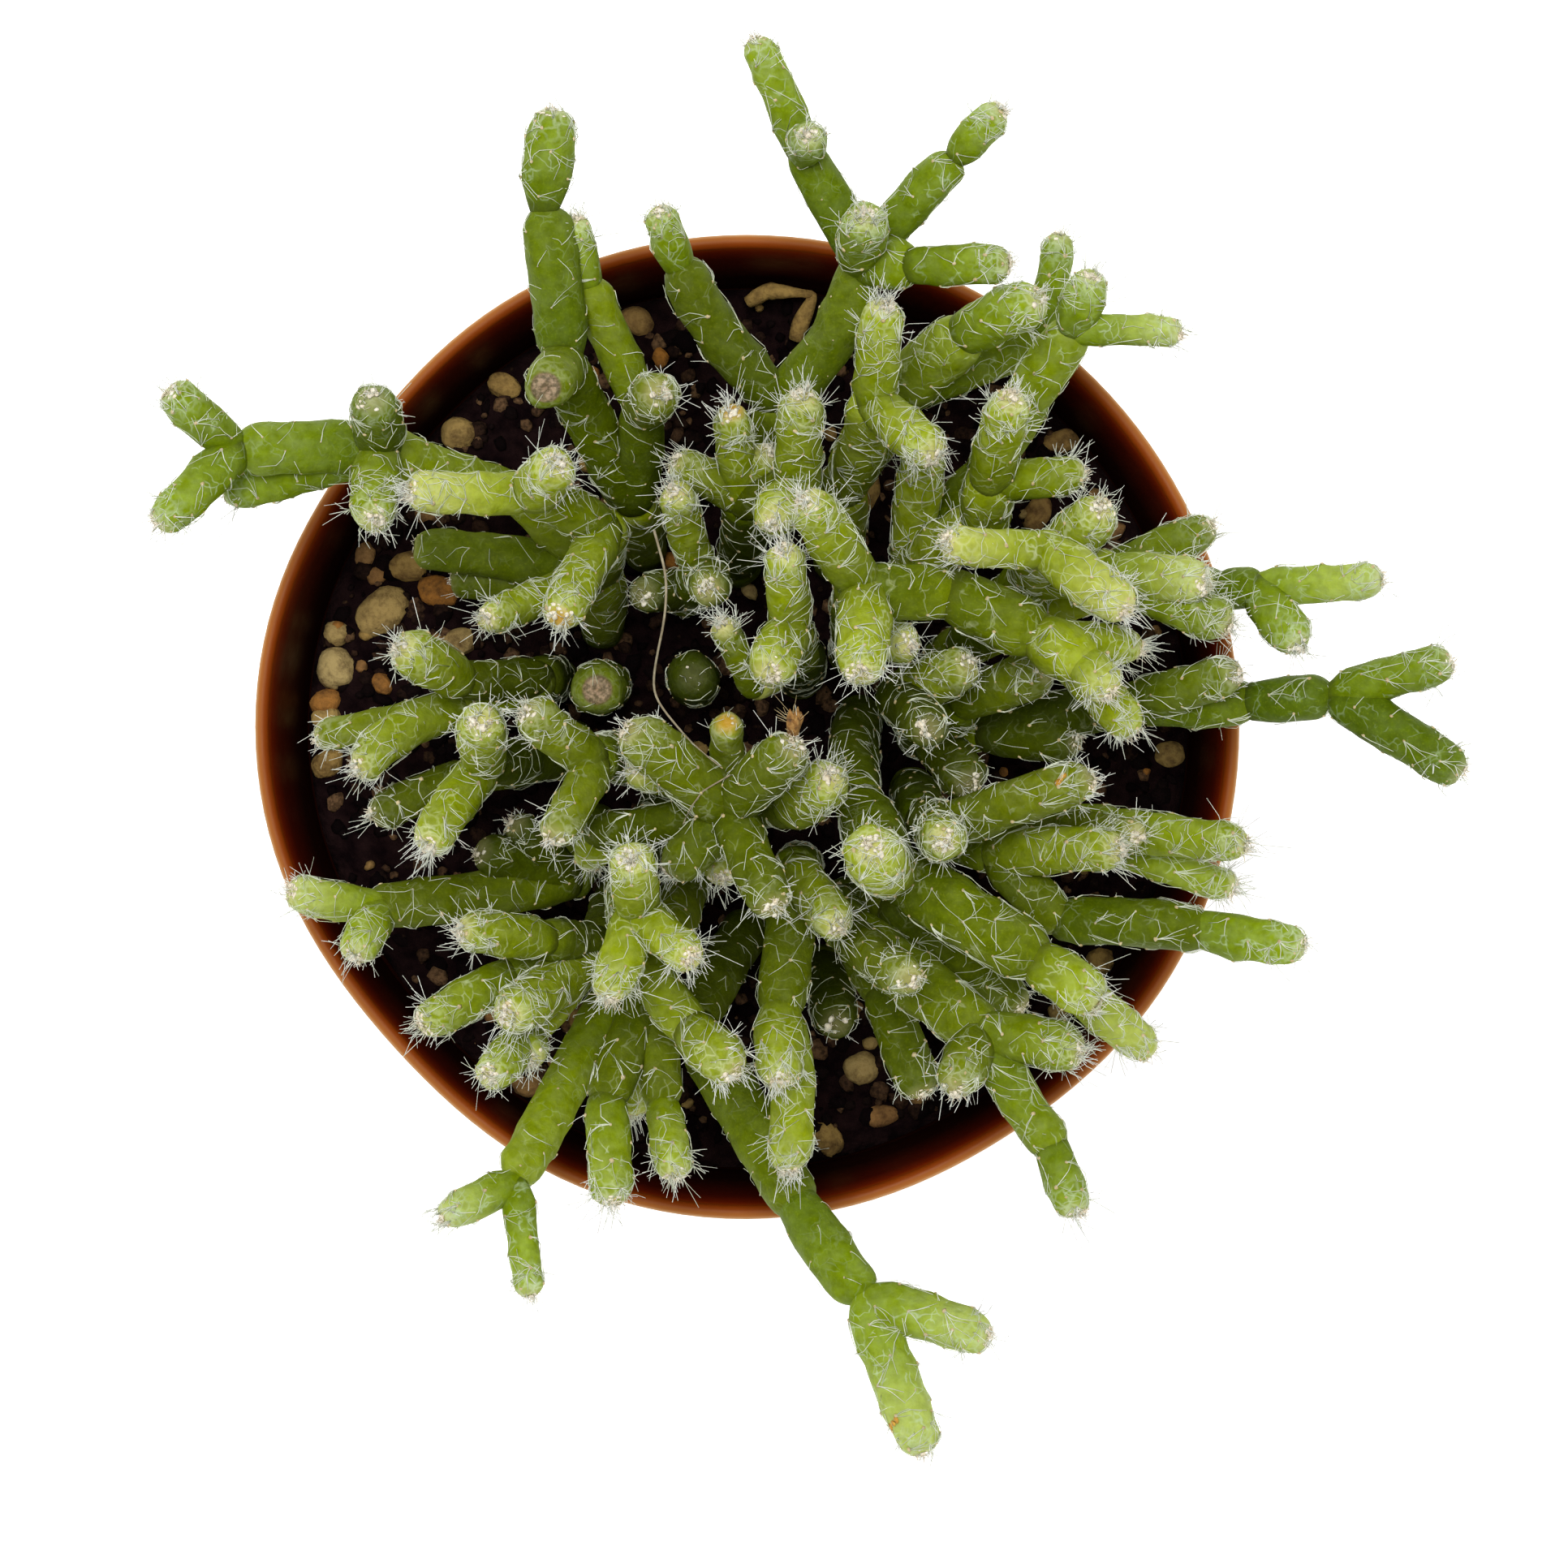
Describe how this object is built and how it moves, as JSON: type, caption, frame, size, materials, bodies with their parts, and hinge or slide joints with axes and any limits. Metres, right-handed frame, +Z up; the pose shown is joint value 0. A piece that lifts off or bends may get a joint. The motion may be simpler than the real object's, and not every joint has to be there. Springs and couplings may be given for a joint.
{
  "type": "potted mistletoe cactus",
  "caption": "Hairy mistletoe cactus: short jointed cylindrical stems that fork and spread from dark gritty soil in a thin brown tapered nursery pot with a stepped rim band and drain holes.",
  "frame": {"origin": "centre of the pot's flat base", "axes": "+Z up along the pot's axis; in plan, +Y is the side where the tall forked plants 'north' lean out and +X the side of the long forked arm 'east'"},
  "size_m": [0.109, 0.1164, 0.1191],
  "materials": {
    "pot_plastic": "thin satin red-brown moulded plastic, paler and orange where light comes through the rim",
    "potting_soil": "matte, nearly black peat and bark crumbs",
    "soil_grains": "matte tan and ochre mineral grains",
    "cactus_stem": "satin yellow-green to olive skin with a fine pale speckle",
    "cactus_hair": "fine white hairs and cream woolly spots"
  },
  "bodies": {
    "root": {"pot": "pot_plastic", "soil": "potting_soil", "plant_north_west": "cactus_stem", "plant_west_far": "cactus_stem", "plant_west": "cactus_stem", "plant_west_low": "cactus_stem", "plant_west_near": "cactus_stem", "plant_south_west": "cactus_stem", "plant_south_west_low": "cactus_stem", "plant_south_far_west": "cactus_stem", "plant_south_mid": "cactus_stem", "plant_south_near": "cactus_stem", "plant_south_far": "cactus_stem", "plant_centre_south": "cactus_stem", "plant_south": "cactus_stem", "plant_south_east": "cactus_stem", "plant_south_low": "cactus_stem", "plant_east_south": "cactus_stem", "plant_east_low": "cactus_stem", "plant_east": "cactus_stem", "plant_east_north": "cactus_stem", "plant_crown": "cactus_stem", "plant_north_east": "cactus_stem", "plant_east_far_north": "cactus_stem", "plant_north": "cactus_stem", "plant_north_near": "cactus_stem", "plant_centre_north": "cactus_stem", "plant_centre": "cactus_stem", "plant_stump_west": "cactus_stem", "plant_stump_centre": "cactus_stem"}
  },
  "joints": []
}
